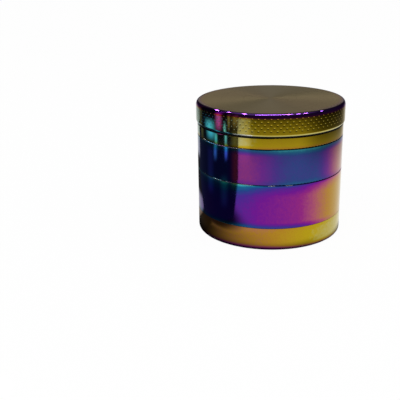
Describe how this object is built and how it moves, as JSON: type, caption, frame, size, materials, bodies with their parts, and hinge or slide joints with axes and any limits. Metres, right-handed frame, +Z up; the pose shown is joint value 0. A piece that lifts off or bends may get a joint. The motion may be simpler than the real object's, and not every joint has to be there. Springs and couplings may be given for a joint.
{
  "type": "herb grinder",
  "caption": "Round hand grinder of stacked screwed sections: dotted turning lid with teeth, holed tooth plate, sifting chambers with screens and a powder catcher, in rainbow plating.",
  "frame": {"origin": "centre of the flat underside of the powder catcher", "axes": "+Z up along the common axis of all sections; the picture looks along +Y"},
  "size_m": [0.063, 0.063, 0.057],
  "materials": {
    "lid_plating": "polished",
    "grinding_plating": "polished",
    "collecting_plating": "polished",
    "sifting_plating": "polished",
    "catcher_plating": "polished",
    "magnet": "satin",
    "screen_wire": "satin",
    "screen_ring": "satin",
    "slip_ring": "satin"
  },
  "bodies": {
    "powder_catcher": {"powder_catcher": "catcher_plating"},
    "fine_screen_ring": {"fine_screen_ring": "screen_ring"},
    "sifting_chamber": {"sifting_chamber": "sifting_plating", "fine_screen": "screen_wire"},
    "coarse_screen_ring": {"coarse_screen_ring": "screen_ring"},
    "collecting_chamber": {"collecting_chamber": "collecting_plating", "coarse_screen": "screen_wire"},
    "plate_magnet": {"plate_magnet": "magnet"},
    "grinding_chamber": {"grinding_chamber": "grinding_plating", "friction_ring": "slip_ring"},
    "lid_magnet": {"lid_magnet": "magnet"},
    "lid": {"lid": "lid_plating"}
  },
  "joints": [
    {"name": "sifting_rise", "type": "slide", "parent": "powder_catcher", "child": "fine_screen_ring", "axis": [0, 0, 1], "range_m": [0, 0.00451]},
    {"name": "sifting_unscrew", "type": "hinge", "parent": "fine_screen_ring", "child": "sifting_chamber", "pos_m": [0, 0, 0.0096], "axis": [0, 0, 1], "range_deg": [0, 810]},
    {"name": "collecting_rise", "type": "slide", "parent": "sifting_chamber", "child": "coarse_screen_ring", "axis": [0, 0, 1], "range_m": [0, 0.00451]},
    {"name": "collecting_unscrew", "type": "hinge", "parent": "coarse_screen_ring", "child": "collecting_chamber", "pos_m": [0, 0, 0.028], "axis": [0, 0, 1], "range_deg": [0, 810]},
    {"name": "grinding_rise", "type": "slide", "parent": "collecting_chamber", "child": "plate_magnet", "axis": [0, 0, 1], "range_m": [0, 0.00451]},
    {"name": "grinding_unscrew", "type": "hinge", "parent": "plate_magnet", "child": "grinding_chamber", "pos_m": [0, 0, 0.0427], "axis": [0, 0, 1], "range_deg": [0, 810]},
    {"name": "lid_lift", "type": "slide", "parent": "grinding_chamber", "child": "lid_magnet", "axis": [0, 0, 1], "range_m": [0, 0.03]},
    {"name": "lid_turn", "type": "hinge", "parent": "lid_magnet", "child": "lid", "pos_m": [0, 0, 0.0477], "axis": [0, 0, 1], "continuous": true}
  ],
  "couplings": [
    {"joint": "sifting_rise", "follows": "sifting_unscrew", "m_per_rad": 0.00031831},
    {"joint": "collecting_rise", "follows": "collecting_unscrew", "m_per_rad": 0.00031831},
    {"joint": "grinding_rise", "follows": "grinding_unscrew", "m_per_rad": 0.00031831}
  ]
}
